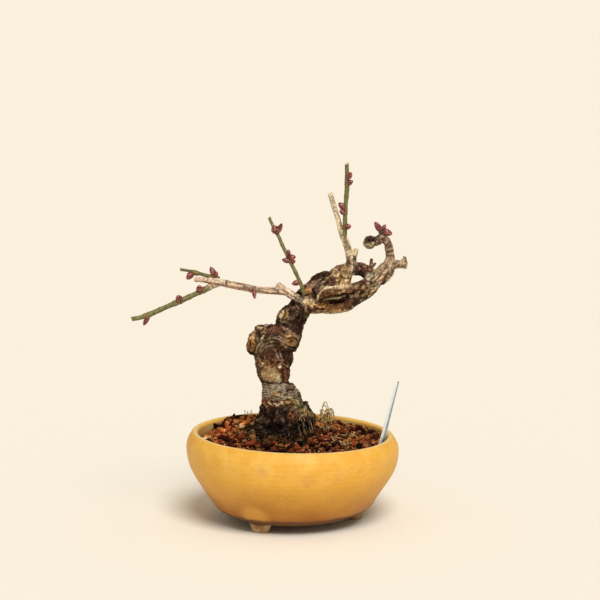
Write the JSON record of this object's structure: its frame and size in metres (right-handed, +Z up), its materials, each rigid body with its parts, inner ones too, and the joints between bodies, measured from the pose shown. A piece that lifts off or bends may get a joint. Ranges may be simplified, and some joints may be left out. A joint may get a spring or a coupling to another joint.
{
  "type": "japanese apricot bonsai",
  "caption": "Small winter bonsai with a thick knobbly trunk, a twisted crown limb, cut-back green shoots with red buds, in a round yellow-glazed bowl on short feet.",
  "frame": {"origin": "on the surface that the three feet stand on, below the middle of the whole plant's footprint", "axes": "+Z up; +X to the right and -Y towards the viewer, seen from the side that shows the cut left branch reaching left and the crown limb reaching right"},
  "size_m": [0.1916, 0.15, 0.2534],
  "materials": {
    "yellow_glaze": "satin",
    "screen_plastic": "matte",
    "clay_grains": "matte",
    "old_bark": "matte",
    "green_shoot": "satin",
    "red_bud": "satin",
    "label_plastic": "satin"
  },
  "bodies": {
    "root": {"pot": "yellow_glaze", "drain_screen": "screen_plastic", "soil": "clay_grains", "trunk": "old_bark", "shoot_crown": "green_shoot", "shoot_middle": "green_shoot", "shoot_left_upper": "green_shoot", "shoot_left_lower": "green_shoot", "bud_bunch": "red_bud", "label": "label_plastic"}
  },
  "joints": []
}
